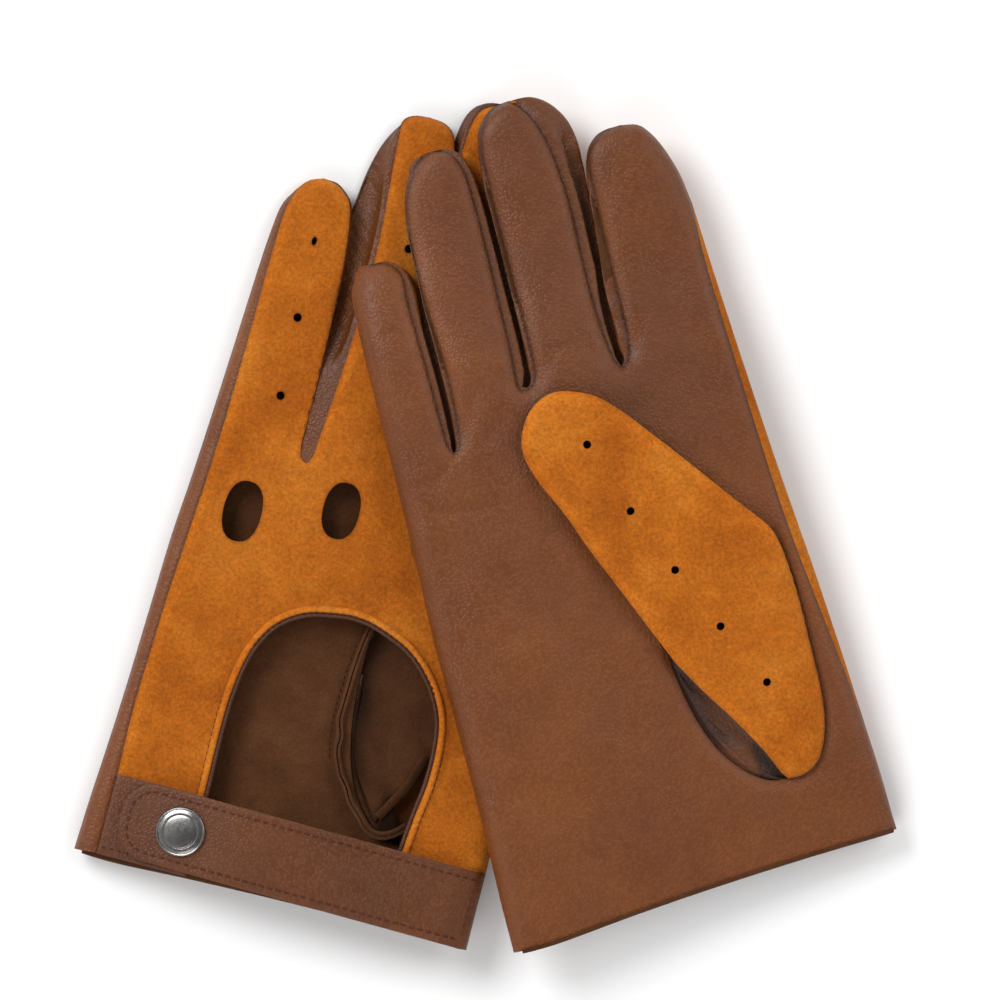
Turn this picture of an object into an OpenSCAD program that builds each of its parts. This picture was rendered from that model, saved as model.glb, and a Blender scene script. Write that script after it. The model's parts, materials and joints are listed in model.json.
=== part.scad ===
// A pair of driving gloves, millimetres, +Z up, origin under the middle of the pair.
// The left glove lies back up on its own folded thumb; the right glove lies palm up and leans on it.
// One glove is drawn in its own flat frame: x across the hand from the little finger to the thumb
// side, y from the cuff to the fingertips, z from the back (0) up to the palm.

/* [Hand] */
// Height of the stuffed hand, back face to palm face
hand_h = 9; // [8:0.5:12]
// Thickness of every leather and suede panel
wall = 0.8; // [0.6:0.1:1]
// Half width of the hand at the cuff
cuff_half_w = 60.3; // [50:0.1:74]
// Half width of the hand under the fingers
palm_half_w = 55; // [50:0.5:62]
// Distance from the cuff to the base of the fingers
palm_len = 152; // [125:1:185]
// How far the turned-in hem runs up inside the cuff
hem_len = 10; // [6:0.5:16]

/* [Fingers] */
// Length of the middle finger past the base of the fingers
middle_len = 93; // [76:1:112]
// Gap between neighbouring fingers at their bases
finger_gap = 4; // [3:0.5:5]
// Diameter of the perforations
perforation_d = 2.4; // [1.5:0.1:3.5]
// Spacing of the perforations along a finger
perforation_pitch = 23; // [18:0.5:26]

/* [Back] */
// Half width of the opening in the back of the hand
arch_half_w = 31.5; // [24:0.5:34]
// Height of the opening above the cuff
arch_top = 88; // [70:1:92]
// Width of the binding round the opening
binding_w = 2.2; // [1.5:0.1:3.5]
// Width of a knuckle hole across the hand
knuckle_hole_w = 10.5; // [7:0.5:12]
// Length of a knuckle hole
knuckle_hole_l = 17; // [12:0.5:20]

/* [Thumb] */
// Height of the stuffed thumb
thumb_h = 7.5; // [6.5:0.5:10]
// Radius of the hole that the thumb is sewn into
thumb_hole_r = 11; // [9:0.5:12]
// Space between the folded thumb and the palm
thumb_gap = 0.3; // [0.3:0.1:1]

/* [Strap] */
// Width of the wrist strap
strap_w = 24; // [20:0.5:28]
// Distance from the sewn end of the strap to its free end
strap_len = 106; // [86:1:108]
// Thickness of the strap's outer leather
strap_t = 1.2; // [0.8:0.1:2]
// Thickness of the strap's lining
lining_t = 0.6; // [0.4:0.1:1]
// Width of the sewn end that stays on the glove
anchor_w = 3.5; // [3:0.5:5]
// Diameter of the snap's cap
cap_d = 14.8; // [12:0.2:17]
// Height of the snap's domed cap
cap_h = 1.6; // [1:0.1:2.5]
// Diameter of the snap's stud
stud_d = 4.6; // [3.5:0.1:5.8]
// Clearance round the stud inside the socket
stud_clearance = 0.3; // [0.2:0.05:0.5]

/* [Layout] */
// Turn of the left glove, clockwise from above
left_turn = 14.2; // [10:0.1:18]
// Turn of the right glove, anticlockwise from above
right_turn = 17.65; // [14:0.05:21]
// Space between the facing corners of the two cuffs
cuff_gap = 10.2; // [9:0.1:20]

/* [Hidden] */
HAND_PARTS = ["palm_panel", "back_panel", "fourchette_index_middle", "fourchette_middle_ring",
    "fourchette_ring_pinky", "cuff_hem", "opening_binding", "opening_stitching", "stud_tab",
    "tab_stitching", "strap_anchor", "snap_stud", "stud_rivet"];
THUMB_PARTS = ["thumb_front", "thumb_gusset"];
STRAP_PARTS = ["strap", "strap_lining", "strap_stitching", "snap_cap", "snap_socket"];
$fn = 48;

// colours
leather = "#744a30";
dark_leather = "#55351f";
suede = "#bb6a24";
thread = "#6e3416";
gunmetal = "#5c5855";
steel = "#9a9a98";

// layers of the back, outwards from the hand's back face at z = 0
tab_t = wall;
strap_gap = 0.7;
strap_in = -(tab_t + strap_gap);
strap_mid = strap_in - lining_t;
strap_out = strap_mid - strap_t;
thread_w = 0.5;
thread_t = 0.25;
binding_t = 0.4;
hem_t = 0.6;

// strap, along x with its sewn end on the thumb side
strap_y0 = 0.5;
strap_y = strap_y0 + strap_w / 2;
strap_x1 = cuff_half_w - 0.8 - anchor_w;
strap_x0 = strap_x1 - strap_len;
hinge_gap = 0.4;
strap_corner_r = strap_w * 0.4;
stitch_inset = 2.5;
snap_x = strap_x0 + strap_w * 0.78;
flange_d = stud_d + 4;
flange_t = 0.4;
stud_hole_d = 3;
socket_d = stud_d + 5;

// arch of the back opening
arch_x = 4.5;
arch_shoulder = arch_top * 0.55;
arch_power = 0.85;

// tab under the free end of the strap, from the palm leather to the opening, or on to past the snap
tab_x0 = -cuff_half_w + 6;
tab_x1 = max(arch_x - arch_half_w, snap_x + stud_hole_d / 2 + 2.5);

// thumb
thumb_hole = [37, 50];
thumb_z0 = hand_h + thumb_gap;
thumb_z1 = thumb_z0 + thumb_h;
thumb_points = [[-3, 157], [8, 155], [18, 145], [33, 123], [47, 102], [52.5, 84], [52, 66], [50, 46],
    [46, 32], [37, 25], [28, 32], [19, 50], [9, 72], [-1, 98], [-9, 124], [-13.5, 146]];
thumb_perforation = [4, 139];
thumb_perforation_step = [7.6, -21];

// fingers: base centre, tip, width at the base, width of the round tip
pinky_x = -palm_half_w + 12.5;
index_x = palm_half_w - 12.5;
ring_x = -19;
middle_x = 10.5;
pinky = [[pinky_x, palm_len - 4], [pinky_x + 3, palm_len + middle_len - 35], 20.5, 16.5];
ring = [[ring_x, palm_len], [ring_x + 7, palm_len + middle_len - 8], 26 - finger_gap, 17];
middle = [[middle_x, palm_len], [middle_x + 3, palm_len + middle_len], 30 - finger_gap, 22];
index = [[index_x, palm_len], [index_x + 2.5, palm_len + middle_len - 18], 30, 25];
FINGERS = [pinky, ring, middle, index];

// where the gloves lie
cuffs_middle = [0.72, -111.08];
cuff_spacing = 2 * cuff_half_w + cuff_gap;
cuff_step = 3;
left_at = cuffs_middle - [cuff_spacing, cuff_step] / 2;
right_at = cuffs_middle + [cuff_spacing, cuff_step] / 2;
left_top = thumb_z1;
glove_gap = 0.4;
edge_along = [sin(left_turn), cos(left_turn)];
edge_across = [cos(left_turn), -sin(left_turn)];
edge_at = left_at + edge_across * (cuff_half_w + glove_gap);
low_corner = right_at + [cos(right_turn), sin(right_turn)] * (cuff_half_w - 0.8)
    + [-sin(right_turn), cos(right_turn)] * strap_y0;
low_reach = (low_corner - edge_at) * edge_across;
lean_h = left_top + glove_gap;
table_gap = 0.05;
lean = asin((lean_h - table_gap) / norm([low_reach, strap_out])) - atan2(-strap_out, low_reach);

// ---------- outlines ----------

function finger_outline(f) = let (
        along = (f[1] - f[0]) / norm(f[1] - f[0]),
        left = [-along[1], along[0]],
        r = f[3] / 2,
        middle_of_tip = f[1] - along * r)
    concat([f[0] - along * 12 + left * f[2] / 2],
        [for (a = [0:15:180]) middle_of_tip + left * r * cos(a) + along * r * sin(a)],
        [f[0] - along * 12 - left * f[2] / 2]);

function spline(p, steps) = [for (i = [0:len(p) - 1]) for (k = [0:steps - 1]) let (
        a = p[(i + len(p) - 1) % len(p)], b = p[i],
        c = p[(i + 1) % len(p)], d = p[(i + 2) % len(p)], t = k / steps)
    (2 * b + (c - a) * t + (2 * a - 5 * b + 4 * c - d) * t * t
        + (3 * b - a - 3 * c + d) * t * t * t) / 2];

function ellipse(at, w, l) = [for (a = [0:15:345]) at + [w / 2 * cos(a), l / 2 * sin(a)]];

function power(x, e) = sign(x) * pow(abs(x), e);

function arch_outline(grow) = concat(
    [for (a = [0:9:180]) [arch_x + (arch_half_w + grow) * power(cos(a), arch_power),
        arch_shoulder + (arch_top - arch_shoulder + grow) * power(sin(a), arch_power)]],
    [[arch_x - arch_half_w - grow, -5], [arch_x + arch_half_w + grow, -5]]);

module palm_outline() {
    polygon([[-cuff_half_w - 0.7, 0], [-cuff_half_w, 22], [-palm_half_w - 3, 52],
        [-palm_half_w - 0.5, 90], [-palm_half_w + 1.3, 128], [-palm_half_w + 2.3, palm_len - 6],
        [pinky[0][0] + 11, palm_len - 7], [-5, palm_len + 3], [25, palm_len],
        [palm_half_w + 2.5, palm_len + 4], [palm_half_w + 3, 120], [cuff_half_w - 0.5, 85],
        [cuff_half_w, 50], [cuff_half_w, 0]]);
}

module hand_outline() {
    palm_outline();
    for (f = FINGERS)
        polygon(finger_outline(f));
}

// inside of the hand, running out through the cuff
module cavity_outline() {
    offset(delta = -wall)
        hand_outline();
    translate([-cuff_half_w + wall, -5])
        square([2 * cuff_half_w - 2 * wall, 10]);
}

// the side wall between two points on a line of seams, each given from cuff to fingertip
module side_wall(zone) {
    translate([0, 0, wall])
        linear_extrude(hand_h - 2 * wall)
            intersection() {
                difference() {
                    hand_outline();
                    cavity_outline();
                }
                polygon(zone);
            }
}

// from under a finger's base, up along its middle, to past its tip
function finger_line(f) = [f[0] - [0, 22], f[0], f[1] + (f[1] - f[0]) / 4];

function reversed(list) = [for (i = [len(list) - 1:-1:0]) list[i]];

function between(f, g) = concat(finger_line(f), reversed(finger_line(g)));

// strip of palm leather that wraps round onto the back, little finger side
module palm_wrap() {
    polygon([[-90, -5], [-cuff_half_w + 5.8, -5], [-cuff_half_w + 5.8, 48], [-palm_half_w + 5, 115],
        [-palm_half_w + 7, 182], [pinky[1][0] - 6, pinky[1][1] - 4], [pinky[1][0] - 4, pinky[1][1] + 20],
        [-90, pinky[1][1] + 20]]);
}

// strip of suede that wraps round onto the palm, index finger side
module back_wrap() {
    polygon([[palm_half_w + 0.7, 62], [palm_half_w + 0.7, 188], [90, 215], [90, 40]]);
}

module strap_outline(inset) {
    half = strap_w / 2 - inset;
    r = strap_corner_r - inset;
    x0 = strap_x0 + inset;
    translate([x0 + r, strap_y - half])
        square([strap_x1 - x0 - r, 2 * half]);
    translate([x0, strap_y - half + r])
        square([r + 1, 2 * (half - r)]);
    for (side = [-1, 1])
        translate([x0 + r, strap_y + side * (half - r)])
            circle(r);
}

// ---------- places ----------

module place(side) {
    if (side == "left")
        translate([left_at[0], left_at[1], left_top])
            rotate([0, 0, -left_turn])
                mirror([0, 0, 1])
                    children();
    else
        translate([edge_at[0], edge_at[1], lean_h])
            rotate(a = lean, v = [edge_along[0], edge_along[1], 0])
                translate([right_at[0] - edge_at[0], right_at[1] - edge_at[1], 0])
                    rotate([0, 0, right_turn])
                        children();
}

// a plate between two heights
module plate(z0, z1) {
    translate([0, 0, z0])
        linear_extrude(z1 - z0)
            children();
}

// a round hole through the back at a point
module drill(at, d, z0, z1) {
    translate([at[0], at[1], z0])
        cylinder(d = d, h = z1 - z0);
}

// ---------- hand ----------

module palm_panel() {
    color(leather) {
        difference() {
            plate(hand_h - wall, hand_h)
                difference() {
                    hand_outline();
                    back_wrap();
                }
            drill(thumb_hole, 2 * thumb_hole_r, hand_h - wall - 1, hand_h + 1);
        }
        plate(0, wall)
            intersection() {
                hand_outline();
                palm_wrap();
            }
        side_wall(concat([[-90, 0], [-40, 0]], finger_line(pinky), [[-90, palm_len + middle_len]]));
    }
}

module back_panel() {
    color(suede) {
        difference() {
            plate(0, wall)
                difference() {
                    hand_outline();
                    palm_wrap();
                    difference() {
                        polygon(arch_outline(0));
                        tab_outline();
                    }
                    for (i = [0:3])
                        polygon(ellipse(knuckle(i), knuckle_hole_w, knuckle_hole_l));
                }
            for (f = FINGERS)
                for (i = [0:2])
                    drill(finger_hole(f, i), perforation_d, -1, wall + 1);
            drill([snap_x, strap_y], stud_hole_d, -1, wall + 1);
        }
        plate(hand_h - wall, hand_h)
            intersection() {
                hand_outline();
                back_wrap();
            }
        side_wall(concat([[90, 0], [50, 0]], finger_line(index), [[90, palm_len + middle_len]]));
    }
}

// knuckle holes lie under the fingers, the outer two a little lower
function knuckle(i) = [FINGERS[i][0][0] + [5, 10.5, 9.5, 3.5][i], palm_len - [41, 34, 34, 40][i]];

function finger_hole(f, i) = let (along = (f[1] - f[0]) / norm(f[1] - f[0]))
    f[1] - along * (15 + i * perforation_pitch) + [2, 0];

module fourchette(f, g) {
    color(dark_leather)
        side_wall(between(f, g));
}

module cuff_hem() {
    color(dark_leather)
        plate(hand_h - wall - hem_t, hand_h - wall)
            intersection() {
                offset(delta = -wall)
                    palm_outline();
                translate([-cuff_half_w, 0])
                    square([2 * cuff_half_w, hem_len]);
            }
}

module opening_binding() {
    color(leather)
        plate(-binding_t, 0)
            difference() {
                polygon(arch_outline(binding_w));
                polygon(arch_outline(0));
                translate([-90, -10])
                    square([180, strap_y0 + strap_w + 11]);
            }
}

module opening_stitching() {
    color(thread)
        plate(-binding_t - thread_t, -binding_t)
            difference() {
                polygon(arch_outline((binding_w + thread_w) / 2));
                polygon(arch_outline((binding_w - thread_w) / 2));
                translate([-90, -10])
                    square([180, strap_y0 + strap_w + 11]);
            }
}

// the tab and the part of the back that carries it
module tab_outline() {
    translate([tab_x0, 0])
        square([tab_x1 - tab_x0, strap_y0 + strap_w + 0.5]);
}

// leather tab under the free end of the strap, which carries the stud
module stud_tab() {
    color(leather)
        difference() {
            plate(-tab_t, 0)
                tab_outline();
            drill([snap_x, strap_y], stud_hole_d, -tab_t - 1, 1);
        }
}

module tab_stitching() {
    color(thread)
        plate(-tab_t - thread_t, -tab_t)
            translate([tab_x0 + 1, stitch_inset])
                square([tab_x1 - tab_x0 - 2, thread_w]);
}

// end of the strap that is sewn down at the thumb side
module strap_anchor() {
    color(leather)
        plate(strap_out, 0)
            translate([strap_x1 + hinge_gap, strap_y0])
                square([anchor_w - hinge_gap, strap_w]);
}

module snap_stud() {
    color(steel)
        translate([snap_x, strap_y, 0])
            rotate([180, 0, 0]) {
                translate([0, 0, tab_t])
                    cylinder(d = flange_d, h = flange_t);
                translate([0, 0, tab_t + flange_t])
                    cylinder(d = stud_d, h = -strap_mid - tab_t - flange_t + strap_t / 2);
            }
}

// rivet that holds the stud from inside the glove
module stud_rivet() {
    color(steel)
        translate([snap_x, strap_y, 0]) {
            translate([0, 0, -tab_t])
                cylinder(d = stud_hole_d, h = tab_t + wall);
            translate([0, 0, wall])
                cylinder(d = flange_d, h = flange_t);
        }
}

// ---------- thumb ----------

// side of the thumb that is leather: towards the palm and the cuff
module gusset_zone() {
    polygon([[-30, 60], [-5, 90], [15, 60], [30, 38], [36, 30], [38, 10], [-30, 10]]);
}

module thumb_ring() {
    difference() {
        polygon(spline(thumb_points, 3));
        offset(delta = -wall)
            polygon(spline(thumb_points, 3));
    }
}

module thumb_front() {
    color(suede) {
        difference() {
            plate(thumb_z1 - wall, thumb_z1)
                polygon(spline(thumb_points, 3));
            for (i = [0:4])
                drill(thumb_perforation + thumb_perforation_step * i, perforation_d,
                    thumb_z1 - wall - 1, thumb_z1 + 1);
        }
        plate(thumb_z0 + wall, thumb_z1 - wall)
            difference() {
                thumb_ring();
                gusset_zone();
            }
    }
}

module thumb_gusset() {
    color(dark_leather) {
        difference() {
            plate(thumb_z0, thumb_z0 + wall)
                polygon(spline(thumb_points, 3));
            drill(thumb_hole, 2 * thumb_hole_r, thumb_z0 - 1, thumb_z0 + wall + 1);
        }
        plate(thumb_z0 + wall, thumb_z1 - wall)
            intersection() {
                thumb_ring();
                gusset_zone();
            }
    }
}

// ---------- strap ----------

module strap() {
    color(leather)
        difference() {
            plate(strap_out, strap_mid)
                strap_outline(0);
            drill([snap_x, strap_y], socket_d, strap_out - 1, strap_mid + 1);
        }
}

module strap_lining() {
    color(dark_leather)
        difference() {
            plate(strap_mid, strap_in)
                strap_outline(0);
            drill([snap_x, strap_y], socket_d, strap_mid - 1, strap_in + 1);
        }
}

module strap_stitching() {
    color(thread)
        plate(strap_out - thread_t, strap_out)
            difference() {
                strap_outline(stitch_inset - thread_w / 2);
                strap_outline(stitch_inset + thread_w / 2);
            }
}

module snap_cap() {
    color(gunmetal)
        translate([snap_x, strap_y, strap_out])
            rotate([180, 0, 0])
                rotate_extrude()
                    polygon(concat([[0, 0], [cap_d / 2, 0], [cap_d / 2, cap_h * 0.5]],
                        [for (a = [0:15:90]) [cap_d / 2 - 1 + sin(90 - a) * 0.6,
                            cap_h * (0.55 + 0.45 * sin(a))]],
                        [[0, cap_h]]));
}

module snap_socket() {
    color(steel)
        translate([snap_x, strap_y, strap_out])
            difference() {
                cylinder(d = socket_d, h = lining_t + strap_t);
                translate([0, 0, -1])
                    cylinder(d = stud_d + 2 * stud_clearance, h = lining_t + strap_t + 2);
            }
}

// ---------- one part of a glove, by name ----------

module part(name) {
    if (name == "palm_panel") palm_panel();
    if (name == "back_panel") back_panel();
    if (name == "fourchette_index_middle") fourchette(middle, index);
    if (name == "fourchette_middle_ring") fourchette(ring, middle);
    if (name == "fourchette_ring_pinky") fourchette(pinky, ring);
    if (name == "cuff_hem") cuff_hem();
    if (name == "opening_binding") opening_binding();
    if (name == "opening_stitching") opening_stitching();
    if (name == "stud_tab") stud_tab();
    if (name == "tab_stitching") tab_stitching();
    if (name == "strap_anchor") strap_anchor();
    if (name == "snap_stud") snap_stud();
    if (name == "stud_rivet") stud_rivet();
    if (name == "thumb_front") thumb_front();
    if (name == "thumb_gusset") thumb_gusset();
    if (name == "strap") strap();
    if (name == "strap_lining") strap_lining();
    if (name == "strap_stitching") strap_stitching();
    if (name == "snap_cap") snap_cap();
    if (name == "snap_socket") snap_socket();
}

for (side = ["left", "right"])
    for (name = concat(HAND_PARTS, THUMB_PARTS, STRAP_PARTS))
        place(side)
                part(name);
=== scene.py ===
# A pair of leather and suede driving gloves: the left one back up, the right one palm up and on top.
# Every piece is drawn in a glove's own flat frame in millimetres: u across the hand from the little
# finger to the thumb side, v from the cuff to the fingertips, w from the back (0) up to the palm.
# Glove.row() then carries it to the shared frame, for either hand, and lets it sag as it lies.
import json
import math
import bpy
import numpy as np
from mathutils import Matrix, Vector, kdtree, noise
from mathutils.geometry import delaunay_2d_cdt


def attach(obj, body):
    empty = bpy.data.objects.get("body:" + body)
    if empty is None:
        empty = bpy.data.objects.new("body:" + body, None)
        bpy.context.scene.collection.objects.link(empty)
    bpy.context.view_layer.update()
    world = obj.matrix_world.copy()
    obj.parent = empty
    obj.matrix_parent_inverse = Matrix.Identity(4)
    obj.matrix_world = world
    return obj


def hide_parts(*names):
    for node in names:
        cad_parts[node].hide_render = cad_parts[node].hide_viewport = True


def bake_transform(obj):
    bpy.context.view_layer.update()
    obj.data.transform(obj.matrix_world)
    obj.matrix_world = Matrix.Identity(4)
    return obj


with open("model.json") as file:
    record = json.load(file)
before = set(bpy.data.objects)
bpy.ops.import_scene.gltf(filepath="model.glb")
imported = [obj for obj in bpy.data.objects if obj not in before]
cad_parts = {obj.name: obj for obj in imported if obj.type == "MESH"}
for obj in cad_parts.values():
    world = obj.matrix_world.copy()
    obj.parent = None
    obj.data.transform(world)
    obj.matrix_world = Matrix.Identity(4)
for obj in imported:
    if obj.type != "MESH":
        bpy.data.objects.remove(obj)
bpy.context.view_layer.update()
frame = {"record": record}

MM = 0.001
HAND_H = 9.0            # back face to palm face
LEATHER = 0.9           # thickness of the glove leather
THIN = LEATHER * 0.8    # thickness of the side walls and the thumb's leather side
MIDDLE = 4.55           # height at which the palm and the back are sewn to each other
LINE_STEP = 1.3         # spacing of an outline's points
STEP = 1.5              # spacing of a sheet's inner points
EDGE_RINGS = (0.4, 1.0)  # distances from a sheet's edges at which it has extra points
SAG = 7.0               # how far the left glove sinks at the little finger's side and the fingertips
LOWEST = 0.02           # no point of a glove lies lower than this over the floor
# shares of a gap that its two side walls may fill, each low down and near the tips
WALLS = [((0.4, 0.4), (0.27, 0.06)), ((0.5, 0.45), (0.24, 0.24)), ((0.2, 0.62), (0.5, 0.22))]

mounts = {m["name"]: m for m in frame["record"]["mounts"]}
joints = {j["name"]: j for j in frame["record"]["behaviour"]["joints"]}


# ---------- small maths ----------

def smooth(x, a, b):
    """0 at a, 1 at b, with soft ends; a may be the larger."""
    t = np.clip((np.asarray(x, float) - a) / (b - a), 0, 1)
    return t * t * (3 - 2 * t)


def bump(x, middle, width):
    return np.exp(-((np.asarray(x, float) - middle) / width) ** 2)


def dome(d, reach):
    """Quarter ellipse: 0 at the edge, 1 from reach inwards."""
    t = np.clip(np.asarray(d, float) / reach, 0, 1)
    return np.sqrt(1 - (1 - t) ** 2)


def columns(*values):
    return np.column_stack(values)


def resample(line, step=None, count=None):
    line = np.asarray(line, float)
    along = np.concatenate([[0], np.cumsum(np.linalg.norm(np.diff(line, axis=0), axis=1))])
    n = count or max(2, int(round(along[-1] / step)) + 1)
    at = np.linspace(0, along[-1], n)
    return np.stack([np.interp(at, along, line[:, i]) for i in range(line.shape[1])], 1)


def spline(points, step=LINE_STEP, count=None):
    """Smooth curve through points, evenly spaced."""
    p = np.asarray(points, float)
    p = np.vstack([2 * p[0] - p[1], p, 2 * p[-1] - p[-2]])
    t = np.linspace(0, 1, 16, endpoint=False)[:, None]
    parts = []
    for a, b, c, d in zip(p, p[1:], p[2:], p[3:]):
        parts.append((2 * b + (c - a) * t + (2 * a - 5 * b + 4 * c - d) * t ** 2
                      + (3 * b - a - 3 * c + d) * t ** 3) / 2)
    return resample(np.vstack(parts + [p[-2:-1]]), step, count)


def joined(*lines):
    """Lines end to end, each shared end point once."""
    out = [np.asarray(lines[0], float)]
    for line in lines[1:]:
        line = np.asarray(line, float)
        same = np.linalg.norm(out[-1][-1] - line[0]) < 1e-6
        out.append(line[1:] if same else line)
    return np.vstack(out)


def normals_2d(line, closed=False):
    """Left-hand normals of a line in the plane."""
    if closed:
        d = np.roll(line, -1, 0) - np.roll(line, 1, 0)
    else:
        d = np.gradient(line, axis=0)
    d /= np.linalg.norm(d, axis=1)[:, None] + 1e-9
    return np.stack([-d[:, 1], d[:, 0]], 1)


def normals_3d(line):
    return columns(normals_2d(line), np.zeros(len(line)))


def rough(p, size, seed):
    """Smooth noise round 0 at points, with lumps about size across."""
    out = np.zeros(len(p))
    for i, q in enumerate(p):
        x = Vector((q[0] / size + seed, q[1] / size - seed, seed))
        out[i] = noise.noise(x) + 0.5 * noise.noise(x * 2.1)
    return out


class Near:
    """Distances to one or more lines."""

    def __init__(self, *lines):
        dense = [resample(l, 0.3) for l in lines]
        self.points = np.vstack(dense)
        self.tree = kdtree.KDTree(len(self.points))
        for i, q in enumerate(self.points):
            self.tree.insert((q[0], q[1], 0), i)
        self.tree.balance()

    def find(self, p):
        found = [self.tree.find((q[0], q[1], 0)) for q in p]
        return np.array([f[2] for f in found]), np.array([f[1] for f in found])

    def distance(self, p):
        return self.find(p)[0]


def near_loops(*loops):
    return Near(*[np.vstack([l, l[:1]]) for l in loops])


def inside(p, loops):
    """Which points are inside the first loop and outside the others."""
    odd = np.zeros(len(p), bool)
    for loop in loops:
        a, b = loop, np.roll(loop, -1, 0)
        for start in range(0, len(p), 4000):
            x, y = p[start:start + 4000, :1], p[start:start + 4000, 1:2]
            over = (a[:, 1] > y) != (b[:, 1] > y)
            cut = (b[:, 0] - a[:, 0]) * (y - a[:, 1]) / (b[:, 1] - a[:, 1] + 1e-12) + a[:, 0]
            odd[start:start + 4000] ^= (over & (x < cut)).sum(1) % 2 == 1
    return odd


# ---------- meshes ----------

def triangulate(loops, step=STEP):
    """Triangles that fill the first loop less the others, finer along the edges."""
    edge = near_loops(*loops)
    lo, hi = loops[0].min(0), loops[0].max(0)
    grid = []
    for i, y in enumerate(np.arange(lo[1], hi[1], step * 0.866)):
        x = np.arange(lo[0] + (i % 2) * step / 2, hi[0], step)
        grid.append(columns(x, np.full(len(x), y)))
    points = np.vstack(grid)
    points = points[inside(points, loops)]
    points = points[edge.distance(points) > EDGE_RINGS[-1] + 0.45 * step]
    for r in EDGE_RINGS:
        for loop in loops:
            for side in (-1, 1):
                line = loop + normals_2d(loop, True) * r * side
                line = line[inside(line, loops)]
                if len(line):
                    points = np.vstack([points, line[edge.distance(line) > 0.93 * r]])
    verts, edges, start = [], [], 0
    for loop in loops:
        verts.append(loop)
        n = len(loop)
        edges += [(start + i, start + (i + 1) % n) for i in range(n)]
        start += n
    flat = np.vstack(verts + [points])
    out = delaunay_2d_cdt([Vector(q) for q in flat], edges, [], 0, 1e-4)
    p = np.array([tuple(q) for q in out[0]])
    f = np.array([t for t in out[2] if len(t) == 3])
    a, b, c = p[f[:, 0]], p[f[:, 1]], p[f[:, 2]]
    area = (b[:, 0] - a[:, 0]) * (c[:, 1] - a[:, 1]) - (b[:, 1] - a[:, 1]) * (c[:, 0] - a[:, 0])
    keep = inside((a + b + c) / 3, loops) & (abs(area) > 1e-4)
    f = np.where((area > 0)[:, None], f, f[:, ::-1])[keep]
    used, f = np.unique(f, return_inverse=True)
    return p[used], f.reshape(-1, 3)


def vertex_normals(v, f):
    n = np.zeros_like(v)
    a, b, c = v[f[:, 0]], v[f[:, 1]], v[f[:, 2]]
    face = np.cross(b - a, c - a)
    for i in range(f.shape[1]):
        np.add.at(n, f[:, i], face)
    return n / (np.linalg.norm(n, axis=1)[:, None] + 1e-12)


class Part:
    """Corners, faces and each face's material number, in a glove's frame."""

    def __init__(self, v=(), f=(), m=None):
        self.v = np.asarray(v, float).reshape(-1, 3)
        self.f = [tuple(int(i) for i in t) for t in f]
        self.m = list(m) if m is not None else [0] * len(self.f)

    def __add__(self, other):
        n = len(self.v)
        return Part(np.vstack([self.v, other.v]), self.f + [tuple(i + n for i in t) for t in other.f],
                    self.m + other.m)


def shell(v, f, thickness=LEATHER, inner=1):
    """A surface given thickness on the side away from its normals."""
    f = np.asarray(f)
    if f.shape[1] == 4:
        tri = np.vstack([f[:, [0, 1, 2]], f[:, [0, 2, 3]]])
    else:
        tri = f
    back = v - vertex_normals(v, tri) * np.reshape(thickness, (-1, 1))
    n = len(v)
    count = {}
    for t in f:
        for a, b in zip(t, np.roll(t, -1)):
            count[(a, b)] = 1
    rim = [(b, a, a + n, b + n) for a, b in count if (b, a) not in count]
    faces = [tuple(t) for t in f] + [tuple(t[::-1] + n) for t in f] + rim
    return Part(np.vstack([v, back]), faces, [0] * len(f) + [inner] * len(f) + [0] * len(rim))


def grid_faces(rows, count, closed=False):
    f = []
    for i in range(rows - 1):
        for j in range(count if closed else count - 1):
            k = (j + 1) % count
            f.append((i * count + j, i * count + k, (i + 1) * count + k, (i + 1) * count + j))
    return f


def loft(rows, thickness=LEATHER, flip=False, inner=1):
    """A shell through rows of points."""
    v = np.vstack(rows)
    f = np.array(grid_faces(len(rows), len(rows[0])))
    if flip:
        f = f[:, ::-1]
    return shell(v, f, thickness, inner)


def tube(path, up, half_w, half_h, sides):
    """A round bar of flattened section along a path; up is the side that half_h lies on."""
    path = np.asarray(path, float)
    along = np.gradient(path, axis=0)
    along /= np.linalg.norm(along, axis=1)[:, None]
    up = np.broadcast_to(np.asarray(up, float), path.shape)
    across = np.cross(up, along)
    across /= np.linalg.norm(across, axis=1)[:, None]
    up = np.cross(along, across)
    a = np.linspace(0, 2 * math.pi, sides, endpoint=False)
    rows = [path[i] + np.outer(np.cos(a), across[i]) * half_w + np.outer(np.sin(a), up[i]) * half_h
            for i in range(len(path))]
    f = grid_faces(len(path), sides, True)
    n = len(path) * sides
    f += [((j + 1) % sides, j, n) for j in range(sides)]
    f += [(n - sides + j, n - sides + (j + 1) % sides, n + 1) for j in range(sides)]
    return Part(np.vstack(rows + [path[:1], path[-1:]]), f)


def stitches(path, up, pitch=2.6, length=1.6, width=0.26, height=0.2):
    """A row of separate thread stitches that lie on a surface."""
    path = resample(path, 0.2)
    up = np.asarray(up, float)
    out = Part()
    per = int(round(pitch / 0.2))
    n = int(round(length / 0.2))
    for start in range(0, len(path) - n, per):
        piece = path[start:start + n + 1][::2]
        t = np.linspace(-1, 1, len(piece))
        lift = np.sqrt(np.clip(1 - t ** 2, 0, 1))
        out = out + tube(piece + np.outer(lift - 0.6, up) * height, up, width, height, 6)
    return out


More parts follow.
